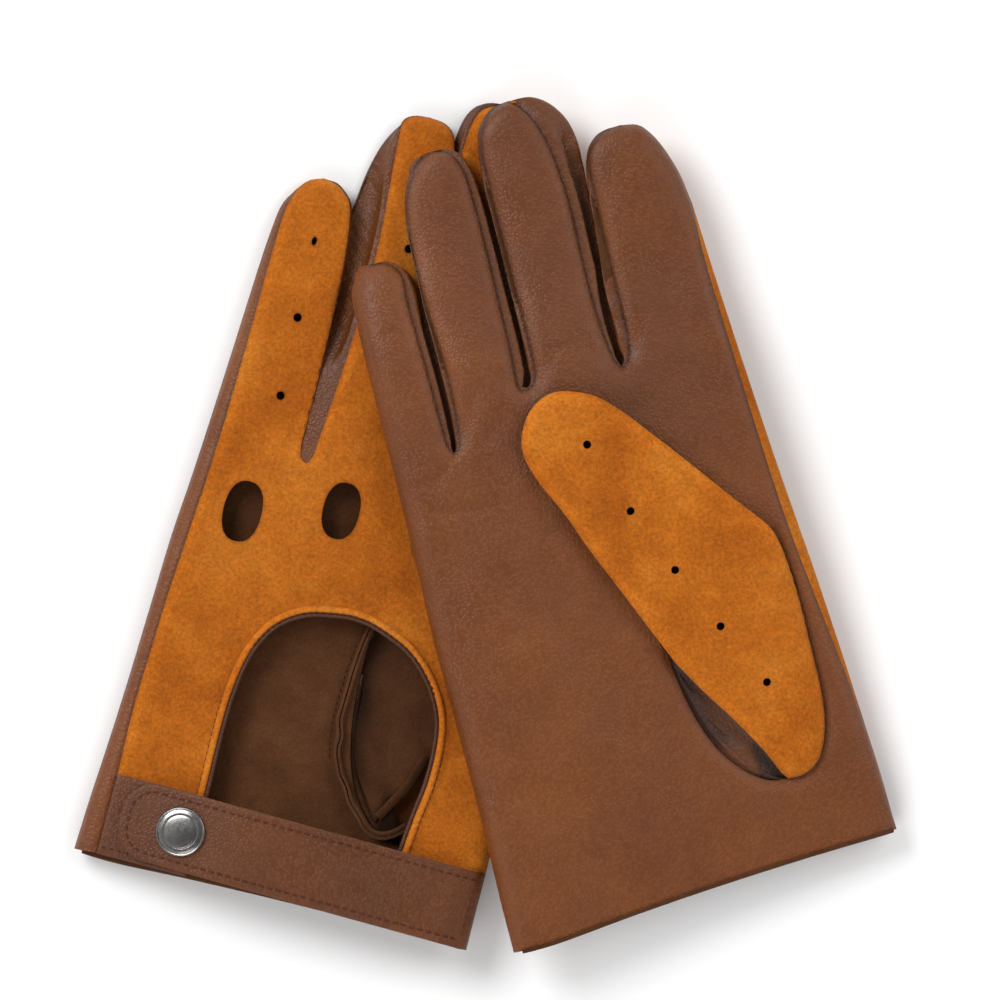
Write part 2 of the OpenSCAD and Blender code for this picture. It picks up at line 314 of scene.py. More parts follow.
def lathe(profile, centre, up=-1.0, sides=48):
    """A turned piece: profile is (radius, height) from its middle outwards and round to its back."""
    profile = np.asarray(profile, float)
    a = np.linspace(0, 2 * math.pi, sides, endpoint=False)
    v = [[centre[0] + r * math.cos(t), centre[1] + r * math.sin(t), centre[2] + up * h]
         for r, h in profile for t in a]
    f = grid_faces(len(profile), sides, True)
    if up > 0:
        f = [t[::-1] for t in f]
    return Part(v, f)


# ---------- where the gloves lie ----------

class Glove:
    """Where one glove's frame lies in the shared frame, worked out from the record."""

    def __init__(self, side):
        self.side = side
        wrist = mounts[side + "_wrist"]
        swing = np.array(joints[side + "_thumb_swing"]["axis"])
        self.along = -np.array(wrist["axis"])
        self.up = swing if side == "left" else -swing
        self.hand = -1 if side == "left" else 1
        self.across = np.cross(self.along, self.up) * self.hand
        self.origin = np.array(wrist["pos_m"]) / MM - self.up * HAND_H / 2

    def flat(self, p):
        """Glove frame to the shared frame in millimetres, before it sags."""
        p = np.asarray(p, float)
        return self.origin + p[:, :1] * self.across + p[:, 1:2] * self.along + p[:, 2:] * self.up

    def plan(self, q):
        """Shared frame, in millimetres, back to this glove's u and v."""
        d = q - self.origin
        return d @ self.across, d @ self.along

    def row(self, p):
        """Glove frame to the shared frame in metres, as the glove lies."""
        q = self.flat(p)
        u, v = left.plan(q)
        aside = smooth(u, -8, -56)
        fingers = smooth(v, 160, 220)
        sag = SAG * (1 - (1 - aside) * (1 - fingers))
        if self.side == "right":
            past = u - EDGE
            over = np.clip(-past, 0, None)
            sag = sag * (1 - smooth(past, 0, 70)) + LEAN * over ** 2 / (over + 12)
        q[:, 2] = np.maximum(q[:, 2] - sag, LOWEST)
        return q * MM


left = Glove("left")
right = Glove("right")
GLOVES = (left, right)
EDGE = 60.7                                          # the left glove's thumb-side edge
LEAN = math.tan(math.acos(min(1, right.up[2])))      # slope of the right glove
PALM_UP = np.array([0.0, 0.0, 1.0])
BACK_UP = -PALM_UP


# ---------- materials ----------

class Nodes:
    """A procedural material, in the object's own coordinates."""

    def __init__(self, name, **constants):
        self.mat = bpy.data.materials.new(name)
        self.mat.use_nodes = True
        self.tree = self.mat.node_tree
        self.shader = self.tree.nodes["Principled BSDF"]
        self.place = self.tree.nodes.new("ShaderNodeTexCoord").outputs["Object"]
        for key, value in constants.items():
            self.shader.inputs[key.replace("_", " ")].default_value = value

    def node(self, kind, **values):
        n = self.tree.nodes.new("ShaderNode" + kind)
        for key, value in values.items():
            if hasattr(value, "is_output"):
                self.tree.links.new(value, n.inputs[key])
            else:
                n.inputs[key].default_value = value
        return n

    def noise(self, size, detail=3.0, roughness=0.55, distortion=0.0):
        return self.node("TexNoise", Vector=self.place, Scale=1 / size, Detail=detail,
                         Roughness=roughness, Distortion=distortion).outputs["Fac"]

    def cells(self, size):
        return self.node("TexVoronoi", Vector=self.place, Scale=1 / size).outputs["Distance"]

    def ramp(self, value, *stops):
        n = self.node("ValToRGB", Fac=value)
        n.color_ramp.elements[0].position = stops[0][0]
        n.color_ramp.elements[1].position = stops[-1][0]
        for at, _ in stops[1:-1]:
            n.color_ramp.elements.new(at)
        for e, (_, colour) in zip(n.color_ramp.elements, stops):
            e.color = (*colour, 1) if len(np.shape(colour)) else (colour,) * 3 + (1,)
        return n.outputs["Color"]

    def mix(self, amount, a, b, kind="MIX"):
        n = self.tree.nodes.new("ShaderNodeMix")
        n.data_type = "RGBA"
        n.blend_type = kind
        for key, value in ((0, amount), (6, a), (7, b)):
            if hasattr(value, "is_output"):
                self.tree.links.new(value, n.inputs[key])
            elif key == 0:
                n.inputs[key].default_value = value
            else:
                n.inputs[key].default_value = (*value, 1)
        return n.outputs[2]

    def shade(self, amount, colour, factor):
        """The colour, darkened by a share of what factor asks for."""
        return self.mix(amount, colour, self.mix(1.0, colour, factor, "MULTIPLY"))

    def bump(self, height, depth, strength, after=None):
        n = self.node("Bump", Height=height, Strength=strength, Distance=depth)
        if after is not None:
            self.tree.links.new(after, n.inputs["Normal"])
        return n.outputs["Normal"]

    def link(self, value, key):
        self.tree.links.new(value, self.shader.inputs[key])


def toned(m, colour):
    """Darker and lighter where the mesh's tone says so, which holds painted shade and painted highlights: 0.5
    leaves the colour as it is.
    """
    tone = m.tree.nodes.new("ShaderNodeAttribute")
    tone.attribute_name = "tone"
    scale = m.ramp(tone.outputs["Fac"], (0.0, 0.12), (0.5, 0.6), (1.0, 1.0))
    return m.mix(1.0, colour, scale, "MULTIPLY")


def leather(name, dark, middle, light):
    """Smooth glove leather: fine pebbles, soft sheen and slow colour changes."""
    m = Nodes(name, Specular_IOR_Level=0.36)
    slow = m.ramp(m.noise(0.03, 4, 0.6), (0.3, dark), (0.5, middle), (0.72, light))
    wrinkle = m.noise(0.0016, 3, 0.6, 0.8)
    pits = m.ramp(m.cells(0.00095), (0.15, 1.0), (0.62, 0.6))
    lines = m.ramp(wrinkle, (0.34, 0.8), (0.6, 1.0))
    m.link(toned(m, m.shade(0.5, m.shade(0.5, slow, pits), lines)), "Base Color")
    m.link(m.ramp(m.noise(0.012, 3), (0.3, 0.38), (0.7, 0.52)), "Roughness")
    fine = m.bump(pits, 0.0003, 0.9)
    ripple = m.bump(wrinkle, 0.0001, 0.5, fine)
    m.link(m.bump(m.noise(0.006, 3, 0.55, 0.3), 0.0004, 0.3, ripple), "Normal")
    return m.mat


def suede_material(name, dark, middle, light):
    """Suede: a brushed nap in darker and lighter strokes, matt, with a soft bright edge."""
    m = Nodes(name, Roughness=0.95, Specular_IOR_Level=0.08, Sheen_Weight=0.22, Sheen_Roughness=0.4)
    m.shader.inputs["Sheen Tint"].default_value = (1.0, 0.5, 0.18, 1)
    slow = m.ramp(m.noise(0.028, 4, 0.6, 0.5), (0.32, dark), (0.52, middle), (0.7, light))
    strokes = m.ramp(m.noise(0.0065, 4, 0.65, 0.6), (0.34, 0.78), (0.64, 1.0))
    nap = m.ramp(m.noise(0.0010, 3, 0.75), (0.34, 0.48), (0.66, 1.0))
    m.link(toned(m, m.shade(0.75, m.shade(0.7, slow, strokes), nap)), "Base Color")
    fibre = m.bump(m.noise(0.0006, 3, 0.75), 0.0004, 0.6)
    m.link(m.bump(m.noise(0.006, 3, 0.6), 0.0008, 0.35, fibre), "Normal")
    return m.mat


def flesh_material(name, dark, light):
    """The rough inner side of the leather."""
    m = Nodes(name, Roughness=0.95, Specular_IOR_Level=0.08, Sheen_Weight=0.1)
    m.shader.inputs["Sheen Tint"].default_value = (1.0, 0.6, 0.35, 1)
    tone = m.ramp(m.noise(0.012, 5, 0.65), (0.3, dark), (0.7, light))
    fleck = m.ramp(m.noise(0.0007, 2, 0.7), (0.3, 0.6), (0.72, 1.0))
    m.link(toned(m, m.shade(0.8, tone, fleck)), "Base Color")
    m.link(m.bump(m.noise(0.0008, 3, 0.7), 0.0003, 0.6), "Normal")
    return m.mat


def thread_material():
    m = Nodes("thread", Roughness=0.7, Specular_IOR_Level=0.25)
    m.link(m.ramp(m.noise(0.0012, 2), (0.3, (0.05, 0.012, 0.005)), (0.7, (0.10, 0.026, 0.009))), "Base Color")
    m.link(m.bump(m.noise(0.0004, 2), 0.0001, 0.5), "Normal")
    return m.mat


def metal_material(name, dark, light, roughness):
    m = Nodes(name, Metallic=1.0)
    m.link(m.ramp(m.noise(0.004, 3), (0.3, dark), (0.7, light)), "Base Color")
    m.link(m.ramp(m.noise(0.0015, 4, 0.7), (0.3, roughness), (0.75, roughness + 0.12)),
           "Roughness")
    m.link(m.bump(m.noise(0.0003, 2), 0.00002, 0.3), "Normal")
    return m.mat


PALM = leather("palm_leather", (0.245, 0.063, 0.009), (0.29, 0.077, 0.0115), (0.345, 0.096, 0.015))
SIDE = leather("fourchette_leather", (0.19, 0.050, 0.008), (0.23, 0.062, 0.0105), (0.28, 0.079, 0.014))
STRAP = leather("strap_leather", (0.18, 0.047, 0.0075), (0.215, 0.057, 0.0095), (0.255, 0.071, 0.012))
TRIM = leather("trim_leather", (0.19, 0.052, 0.014), (0.23, 0.065, 0.018), (0.28, 0.082, 0.024))
SUEDE = suede_material("suede", (0.70, 0.176, 0.015), (0.88, 0.242, 0.021), (1.0, 0.315, 0.034))
# a lighter copy of the suede for the opening's rolled rim: a painted highlight
SUEDE_RIM_HIGHLIGHT = suede_material("suede_rim_highlight", (0.95, 0.25, 0.02), (1.0, 0.30, 0.03), (1.0, 0.36, 0.045))
FLESH = flesh_material("leather_inside", (0.115, 0.043, 0.0165), (0.195, 0.076, 0.031))
SUEDE_IN = flesh_material("suede_inside", (0.12, 0.035, 0.009), (0.21, 0.06, 0.015))
THREAD = thread_material()
STEEL = metal_material("snap_steel", (0.5, 0.5, 0.5), (0.65, 0.65, 0.64), 0.28)
CAP = metal_material("snap_cap", (0.20, 0.19, 0.185), (0.30, 0.29, 0.28), 0.16)


def add_object(name, data):
    obj = bpy.data.objects.new(name, data)
    bpy.context.scene.collection.objects.link(obj)
    return obj


def piece(glove, name, part, body, slot, materials, nodes=(), tone=None):
    """A named object for one glove, riding on its body; tone shades its colour, 0.5 being plain."""
    mesh = bpy.data.meshes.new(f"{glove.side}_{name}")
    faces = part.f if glove.hand > 0 else [t[::-1] for t in part.f]
    mesh.from_pydata(glove.row(part.v).tolist(), [], faces)
    for material in materials:
        mesh.materials.append(material)
    mesh.polygons.foreach_set("material_index", [min(k, len(materials) - 1) for k in part.m])
    mesh.shade_smooth()
    mesh.set_sharp_from_angle(angle=math.radians(62))
    mesh.validate()
    values = np.full(len(part.v), 0.5) if tone is None else np.clip(tone(part.v), 0, 1)
    mesh.attributes.new("tone", "FLOAT", "POINT").data.foreach_set("value", values.astype(np.float32))
    obj = add_object(f"{glove.side}_{name}", mesh)
    if body:
        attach(obj, f"{glove.side}_{body}")
    if nodes:
        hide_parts(*[f"{glove.side}_{n}" for n in nodes])
    return obj


# ---------- outlines ----------

# each gap between two fingers: down the first finger's side from its tip, then up the next one's
PALM_GAPS = [
    ([(-40.5, 210), (-36, 209), (-33.3, 206), (-32.8, 202), (-33.6, 196), (-34, 185), (-34.4, 172),
      (-35, 160), (-35.2, 151.5), (-34, 148.2)],
     [(-34, 148.2), (-31.8, 150), (-30.3, 157), (-29.2, 167), (-28.7, 180), (-28.8, 194), (-28.0, 206),
      (-26.5, 218), (-24.5, 226), (-21.2, 231.6), (-17, 235.3), (-13, 236.8)]),
    ([(-13, 236.8), (-9, 235.6), (-6.8, 233), (-5.6, 228), (-5.5, 219), (-6.2, 203), (-7.3, 188), (-8.3, 174),
      (-9.4, 164), (-9.2, 160.4), (-6.8, 160.1)],
     [(-6.8, 160.1), (-4.6, 161.5), (-3.2, 166), (-2.2, 180), (-1.3, 195), (-0.5, 210), (0.2, 222), (1, 231),
      (3, 238), (6.5, 242), (10, 243.8), (13.5, 244.2)]),
    ([(13.5, 244.2), (16.3, 242), (18.6, 238), (20.2, 232.5), (21.3, 226), (21.9, 218), (21.8, 208),
      (20.9, 196), (20, 183), (19.8, 170), (20.4, 161.5), (22, 157.6)],
     [(22, 157.6), (25, 159.8), (26.6, 166), (27.4, 178), (28.4, 192), (29.5, 206), (30.6, 217),
      (32.6, 222.5), (36, 225.8), (40, 226.9), (44, 227)])]
BACK_GAPS = [
    ([(-38.3, 213.9), (-34, 213), (-30.5, 210.5), (-28.3, 207), (-27, 200), (-26, 190), (-25.4, 180),
      (-25.1, 165), (-24.9, 150), (-25, 140), (-25, 134), (-24, 130.5), (-22.3, 129.5)],
     [(-22.3, 129.5), (-20.9, 131.5), (-20.3, 137), (-19.6, 145), (-18.6, 157), (-17.8, 170), (-17.4, 182),
      (-17.3, 195), (-17.8, 208), (-18.8, 222), (-19.4, 232), (-19, 236.5), (-16, 238.8), (-11.7, 239.5)]),
    ([(-11.7, 239.5), (-7, 238.6), (-3.6, 235.5), (-1.6, 228), (-0.6, 212), (-0.4, 192), (-0.2, 172),
      (0, 154), (0.4, 144), (1.6, 140), (3, 139.4)],
     [(3, 139.4), (4.2, 142), (4.2, 152), (3.2, 170), (2.4, 190), (1.4, 210), (0.4, 226), (0.6, 238),
      (3, 245.5), (9.5, 248.7)]),
    ([(9.5, 248.7), (17, 247.5), (23, 242), (27, 232), (28.4, 214), (28, 194), (27.6, 174), (27.8, 156),
      (28.4, 146), (29.6, 142.4)],
     [(29.6, 142.4), (31.4, 146), (32, 156), (33, 172), (33.8, 190), (34.6, 205), (36.8, 217.5), (40.5, 225),
      (45.5, 227.8)])]
PALM_TIPS = [(-40.5, 210), (-13, 236.8), (13.5, 244.2), (44, 227)]
BACK_TIPS = [(-38.3, 213.9), (-11.7, 239.5), (9.5, 248.7), (45.5, 227.8)]
PALM_SEAM = spline([(57.6, 198), (56.4, 190), (55.6, 175), (55.3, 150), (55.2, 125), (55.5, 100), (56.6, 80),
                    (57.8, 64), (59, 48), (60.2, 34)])
BACK_SEAM = spline([(-45, 209.6), (-46.9, 203), (-47.5, 196), (-48, 182), (-48.3, 165), (-48.8, 148),
                    (-49.4, 132), (-50.4, 115), (-51.7, 98), (-53, 80), (-53.9, 62), (-54.6, 45),
                    (-54.4, 25), (-54.2, 0.5)])
ARCH = joined([(33, 0.5), (33.8, 23)],
              spline([(33.8, 23), (35, 35), (36.3, 45), (36.3, 56), (34.6, 65.5), (29.5, 74.5), (21.7, 81.9),
                      (11.7, 86.4), (5, 87.9), (-1.7, 87.6), (-11.5, 85.3), (-19.5, 79.5), (-24.5, 70),
                      (-26.7, 58), (-27.3, 45), (-27.1, 25)]),
              [(-27.1, 25), (-26.8, 0.5)])
ARCH = resample(ARCH, LINE_STEP)
THUMB_FREE = [(50.4, 97), (48.3, 101), (41.7, 110.5), (33.3, 123), (25, 135), (16.7, 146.5), (10, 153),
              (0, 157), (-8, 154.5), (-13.2, 148), (-14.6, 141), (-12.5, 132), (-8.3, 121.5), (-4.2, 108.5),
              (0, 97), (5, 83), (10, 69)]
THUMB_FOLD = [(10, 69), (13, 63), (17, 55.5), (20.5, 49.5), (24, 43), (27, 37), (29.5, 31.5),
              (31, 27.5), (32.6, 24.8)]
THUMB_SEWN = [(32.6, 24.8), (36, 24.4), (40, 25.3), (43.8, 28.2), (46.8, 33.5), (49, 40.5), (50.4, 50),
              (51, 60), (51.8, 72), (52.1, 82), (51.6, 91), (50.4, 97)]
GUSSET_SEAM = [(9.2, 72), (9.4, 66), (10, 59.5), (11.2, 52), (13, 45), (15.6, 38.6), (19.2, 33), (23.2, 28.7),
               (27.5, 25.8), (32.6, 24.8)]
HOLE_TOP = [(50.4, 97), (42, 104), (30, 106), (18, 101), (11.5, 92), (9.2, 82), (9.2, 72)]


def cut_along(line, lo, hi):
    return line[(line[:, 1] >= lo - 1e-6) & (line[:, 1] <= hi + 1e-6)]


def ring(at, w, l, n=16, square=1.0):
    """An oval; square below 1 fills out its corners."""
    a = np.linspace(0, 2 * math.pi, n, endpoint=False)
    c, d = np.cos(a), np.sin(a)
    return np.stack([at[0] + w / 2 * np.sign(c) * abs(c) ** square,
                     at[1] + l / 2 * np.sign(d) * abs(d) ** square], 1)


def pulled(line, own_tip, tip):
    """A finger's outline with its tip moved, for the face that doesn't show."""
    shift = np.subtract(tip, own_tip)
    return line + smooth(line[:, 1], own_tip[1] - 50, own_tip[1] - 4)[:, None] * shift


def across(a, b):
    return resample([a, b], LINE_STEP)


class Hand:
    """Outlines of one hand. The two faces' fingertips meet at the tips of the face that shows."""

    def __init__(self, palm_shows):
        tips = PALM_TIPS if palm_shows else BACK_TIPS
        self.palm_gaps, self.back_gaps = [
            [(pulled(spline(a), own[i], tips[i]), pulled(spline(b), own[i + 1], tips[i + 1]))
             for i, (a, b) in enumerate(gaps)]
            for gaps, own in ((PALM_GAPS, PALM_TIPS), (BACK_GAPS, BACK_TIPS))]
        self.palm_fingers = joined(*[line for gap in self.palm_gaps for line in gap])
        self.back_fingers = joined(*[line for gap in self.back_gaps for line in gap])
        self.tips = np.array(tips)
        pinky, index = tips[0], tips[3]
        corner = (-45.6, 208.6)
        self.left_side = spline([(-61.6, 0), (-60.8, 15), (-59.6, 32), (-58.4, 52), (-57.4, 75), (-56.4, 98),
                                 (-55, 115), (-53.8, 132), (-52.8, 148), (-51.8, 165), (-50.8, 182),
                                 (-49.9, 194), (-48.6, 203), corner])
        halfway = ((corner[0] + pinky[0]) / 2 - 0.6, (corner[1] + pinky[1]) / 2 + 0.9)
        self.left_tip = spline([corner, halfway, pinky])
        self.right_low = spline([(59.8, 0), (60.3, 18), (60.2, 34)])
        self.right_side = spline([(60.2, 34), (60.1, 52), (59.8, 70), (59.5, 84), (59, 98), (58.3, 120),
                                  (57.8, 150), (57.6, 173), (57.6, 198)])
        self.right_tip = spline([(57.6, 198), (56.6, 208), (54.2, 217), (51.6, 222.5), (48.8, 225.6), index])
        self.cuff = spline([(59.8, 0), (30, 0.8), (0, 0.9), (-25, 0.4), (-48, -0.5), (-61.6, 0)])
        self.back_seam = joined([corner], BACK_SEAM[2:])
        self.silhouette = Near(self.left_side, self.left_tip, self.right_low, self.right_side, self.right_tip)
        self.palm_seams = Near(self.palm_fingers)
        self.back_seams = Near(self.back_fingers)

    def tip_share(self, p):
        """1 at a fingertip, 0 from 11 mm away."""
        d = np.min(np.linalg.norm(p[:, None] - self.tips, axis=2), 1)
        return 1 - smooth(d, 1, 11)

    def rolled(self, p, seams, side_drop):
        """How far a face falls away towards the silhouette and the finger seams."""
        outer = self.silhouette.distance(p)
        d, k = seams.find(p)
        drop = side_drop + (4.1 - side_drop) * self.tip_share(seams.points)[k]
        reach = 3.6 + 3.0 * smooth(p[:, 1], 176, 150)
        fall = np.maximum(4.4 * (1 - dome(outer, 5.5)), drop * (1 - dome(d, reach)))
        both = np.minimum(outer, d)
        crown = 1.0 * smooth(p[:, 1], 140, 175) * (1 - (1 - np.clip(both / 9, 0, 1)) ** 2)
        return fall - crown

    def met(self, p, w, seams):
        """Brings a face to the middle of the hand where the two faces are sewn to each other."""
        d, k = seams.find(p)
        tips = self.tip_share(seams.points)[k]
        meet = np.maximum(1 - smooth(self.silhouette.distance(p), 0, 0.9), (1 - smooth(d, 0, 0.9)) * tips)
        return w * (1 - meet) + MIDDLE * meet

    def palm_height(self, p):
        u, v = p[:, 0], p[:, 1]
        w = HAND_H + 0.2 - self.rolled(p, self.palm_seams, 1.5)
        w += 0.9 * np.exp(-((u + 34) / 24) ** 2 - ((v - 58) / 42) ** 2)
        w -= 0.8 * np.exp(-((u + 6) / 16) ** 2 - ((v - 100) / 40) ** 2)
        w += 0.5 * rough(p, 24, 3.1) + 0.18 * rough(p, 8, 8.7)
        w -= 0.4 * bump(palm_seam_line.distance(p), 0, 0.9) * (v > 30)
        w -= 0.8 * bump(thumb_seam_line.distance(p), 0, 1.7)
        for a, b, width, depth in PALM_FOLDS:
            w -= crease(p, a, b, width, depth)
        w = MIDDLE + (w - MIDDLE) * (1 - 0.42 * smooth(v, 26, 0))
        return self.met(p, w, self.palm_seams)

    def back_height(self, p):
        v = p[:, 1]
        w = -0.1 + self.rolled(p, self.back_seams, 1.5)
        w -= smooth(v, 24, 40) * (0.5 * rough(p, 26, 5.3) + 0.16 * rough(p, 9, 2.2))
        w += 0.35 * bump(back_seam_line.distance(p), 0, 0.9)
        w += smooth(v, 20, 27) * 0.5 * bump(arch_line.distance(p), 4.0, 1.0)
        for a, b, width, depth in BACK_FOLDS:
            w += crease(p, a, b, width, depth)
        return self.met(p, w, self.back_seams)

    def sheets(self):
        """The palm with its wrap round the little finger's side, and the back with its strip."""
        loop = joined(self.left_side, self.left_tip, self.palm_fingers, self.right_tip[::-1], PALM_SEAM,
                      self.right_low[::-1], self.cuff)[:-1]
        palm = sheet_of([loop, thumb_hole], self.palm_height, True)
        loop = joined(self.left_side, self.back_seam, across((-54.2, 0.5), (-61.6, 0)))[:-1]
        wrap = sheet_of([loop], self.back_height, False)
        strip = sheet_of([joined(PALM_SEAM, self.right_side)[:-1]], self.palm_height, True)
        loop = joined(self.back_seam[::-1], self.left_tip, self.back_fingers, self.right_tip[::-1],
                      self.right_side[::-1], self.right_low[::-1], across((59.8, 0), (33, 0.5)), ARCH,
                      across((-26.8, 0.5), (-54.2, 0.5)))[:-1]
        back = sheet_of([loop] + BACK_HOLES, self.back_height, False)
        return palm + wrap, back + strip

    def fourchette(self, i):
        """Side walls of two fingers and the web between them, from the palm seam to the back seam."""
        palm_gap, back_gap = self.palm_gaps[i], self.back_gaps[i]
        counts = [max(len(a), len(b)) for a, b in zip(palm_gap, back_gap)]
        top = joined(*[resample(line, count=n) for line, n in zip(palm_gap, counts)])
        low = joined(*[resample(line, count=n) for line, n in zip(back_gap, counts)])
        half, count = counts[0], len(top)
        room, low_room = [np.concatenate([Near(b).distance(a), Near(a).distance(b)])
                          for a, b in ((top[:half], top[half:]), (low[:half], low[half:]))]
        along = np.concatenate([[0], np.cumsum(np.linalg.norm(np.diff(top, axis=0), axis=1))])
        to_end = np.minimum(along, along[-1] - along)
        ends = smooth(to_end, -0.5, 9)
        crotch = smooth(abs(along - along[half - 1]), 36, 8)
        overhang = ((low - top) * normals_2d(top)).sum(1)
        over = np.maximum(smooth(overhang, -1.5, 1.5), crotch)
        first = np.pad((np.arange(count) < half).astype(float), 4, "edge")
        first = np.convolve(first, np.ones(9) / 9, "valid")
        high = smooth(top[:, 1], 168, 208)
        near, far = WALLS[i]
        share = first * (near[0] + (near[1] - near[0]) * high)
        share = share + (1 - first) * (far[0] + (far[1] - far[0]) * high)
        upper = np.minimum(3.2 - 1.2 * smooth(room, 9, 14), room * share) * ends
        lower = np.minimum(1.8, low_room * (0.36 - 0.1 * first)) * ends
        tip = smooth(to_end, 32, 12)
        top3 = columns(top, self.palm_height(top) - 0.35 * ends)
        low3 = columns(low, self.back_height(low) + 0.35 * ends)
        rows = []
        for t in np.linspace(0, 1, 21):
            soon, late = math.sin(math.pi * t / 2), 1 - math.cos(math.pi * t / 2)
            plan_over = tip * soon + (1 - tip) * smooth(t, 0.5, 1)
            rise_over = tip * late + (1 - tip) * (smooth(t, 0.12, 0.6) * 0.85 + 0.15 * t)
            plan_under = tip * late + (1 - tip) * smooth(t, 0.28, 0.7)
            rise_under = tip * soon + (1 - tip) * (smooth(t, 0.4, 0.88) * 0.85 + 0.15 * t)
            plan = (over * plan_over + (1 - over) * plan_under)[:, None]
            rise = over * rise_over + (1 - over) * rise_under
            line = columns(top3[:, :2] * (1 - plan) + low3[:, :2] * plan,
                                    top3[:, 2] * (1 - rise) + low3[:, 2] * rise)
            full = smooth(t, 0, 0.2) * smooth(t, 0.62, 0.3) - 0.2 * bump(t, 0, 0.05)
            low_full = smooth(t, 1, 0.8) * smooth(t, 0.4, 0.7) - 0.2 * bump(t, 1, 0.05)
            swell = upper * (1 - 0.65 * tip) * full + lower * (1 - 0.65 * tip) * low_full
            line[:, :2] += normals_2d(top) * swell[:, None]
            soft = rough(columns(along, np.full(count, 20 * t)), 11, 4.4)
            line[:, 2] += 0.25 * math.sin(math.pi * t) * ends * soft
            rows.append(line)
        return loft(rows, np.tile(THIN * (0.2 + 0.8 * ends), len(rows)))

    def finger_stitches(self):
        """Fine stitches along the palm side of the finger seams."""
        out = Part()
        for gap in self.palm_gaps:
            for line in gap:
                line = line[2:-1] - normals_2d(line)[2:-1] * 0.3
                v = columns(line, self.palm_height(line) - 0.05)
                out = out + stitches(v, PALM_UP, 1.6, 0.9, 0.11, 0.12)
        return out


# ---------- surfaces of the hand ----------

thumb_hole = joined(spline(GUSSET_SEAM), spline(THUMB_SEWN), spline(HOLE_TOP))[:-1]
thumb_seam_line = Near(spline(GUSSET_SEAM), spline(THUMB_SEWN))
palm_seam_line = Near(PALM_SEAM)
back_seam_line = Near(BACK_SEAM)
arch_line = Near(ARCH)
KNUCKLES = [(-37.3, 110.8), (-8.5, 118.2), (19.3, 118), (46, 111)]
KNUCKLE_SIZE = [(11.6, 18.6), (11, 17.2), (11, 17.2), (11.2, 18)]
FINGER_HOLES = [((-36.3, 194.8), 1.5), ((-35.5, 171.3), 2.5), ((-34.7, 147.3), 2.5), ((-10.2, 221), 2.3),
                ((-8.2, 199.4), 2.5), ((-9, 171), 2.5), ((13.8, 226), 2.3), ((15, 201), 2.5),
                ((15.5, 176), 2.5), ((46.4, 207), 2.4), ((46, 183), 2.5), ((45.4, 159), 2.5)]
BACK_HOLES = [ring(k, w, l, 36, 0.86) for k, (w, l) in zip(KNUCKLES, KNUCKLE_SIZE)]
BACK_HOLES += [ring(h, w, 2.6, 14) for h, w in FINGER_HOLES]
# folds in the leather: from, to, half width, depth
PALM_FOLDS = [((-31.5, 149), (-21, 168), 2.4, 0.7), ((-27, 147), (-14, 156), 2.2, 0.4),
              ((-36, 147), (-44, 140), 1.8, 0.4), ((-9, 159.5), (-18, 171), 2.2, 0.5),
              ((-5, 159.5), (6, 171), 2.2, 0.4), ((21, 157), (13, 168), 2.2, 0.5),
              ((24, 157), (32, 169), 2.2, 0.5), ((-53, 134), (-22, 129), 1.5, 0.45),
              ((-51, 143), (-37, 141), 1.2, 0.3), ((-47, 188), (-36, 189), 1.0, 0.25),
              ((-49, 181), (-39, 183), 0.9, 0.2), ((14, 24), (44, 17), 3.2, -0.7),
              ((-8, 40), (6, 70), 3.5, -0.4)]
BACK_FOLDS = [((-45, 196), (-38, 199), 2.0, 0.3), ((-46, 154), (-36, 158), 2.2, 0.3),
              ((-40, 92), (-28, 84), 3.0, 0.4), ((-50, 60), (-36, 68), 3.0, 0.35),
              ((44, 60), (52, 84), 3.0, 0.35)]


def crease(p, a, b, width, depth):
    """A straight valley from a to b with soft ends."""
    a, b = np.array(a, float), np.array(b, float)
    length = np.linalg.norm(b - a)
    along = (p - a) @ ((b - a) / length)
    off = np.linalg.norm(p - a - np.outer(np.clip(along, 0, length), (b - a) / length), axis=1)
    fade = smooth(along, -2, 0.35 * length) * smooth(along, length + 2, 0.65 * length)
    return depth * np.exp(-(off / width) ** 2) * fade


def sheet_of(loops, height, palm_side):
    p, f = triangulate(loops)
    if not palm_side:
        f = f[:, ::-1]
    return shell(columns(p, height(p)), f)


hands = {"left": Hand(palm_shows=False), "right": Hand(palm_shows=True)}
plain = hands["left"]


def stitch_inset(v):
    """The stitches beside the opening move in to its edge round the top."""
    return 0.35 + 2.1 * (1 - smooth(v, 52, 78))


# ---------- cuff, opening, tab ----------

def hem():
    u = np.linspace(-59.2, 58.6, 90)
    cuff = plain.cuff[np.argsort(plain.cuff[:, 0])]
    low = np.interp(u, cuff[:, 0], cuff[:, 1])
    rows = []
    for v, w in ((10, -1.15), (5, -1.1), (1.2, -1.05), (0.05, -0.85), (-0.35, -0.3), (0, 0.05), (0.6, 0.1)):
        line = columns(u, v + low * smooth(v, 6, 0))
        over = columns(u, np.maximum(line[:, 1], 0))
        rows.append(columns(line, plain.palm_height(over) + w))
    return loft(rows, 0.5, flip=True)


def binding():
    """Leather binding inside the opening's edge."""
    path = cut_along(ARCH, 22, 100)
    line = columns(path + normals_2d(path) * 0.3, plain.back_height(path) + 0.3)
    return tube(line, BACK_UP, 0.7, 0.75, 12)


def opening_rim():
    """The suede rolled over a cord along the opening, painted lighter as a highlight along it."""
    path = cut_along(ARCH, 22, 100)
    line = columns(path - normals_2d(path) * 1.45, plain.back_height(path) - 0.15)
    line[:, 2] += 0.08 * rough(line, 5, 3.3)
    return tube(line, BACK_UP, 1.0, 0.9, 12)


def arch_stitches():
    path = cut_along(ARCH, 24, 100)
    out = -normals_2d(path)
    line = path + out * stitch_inset(path[:, 1])[:, None]
    w = plain.back_height(line) - 0.62 + 0.5 * smooth(path[:, 1], 74, 56)
    return stitches(columns(line, w), BACK_UP, 2.1, 1.3, 0.2, 0.2)


TAB_H = -1.1


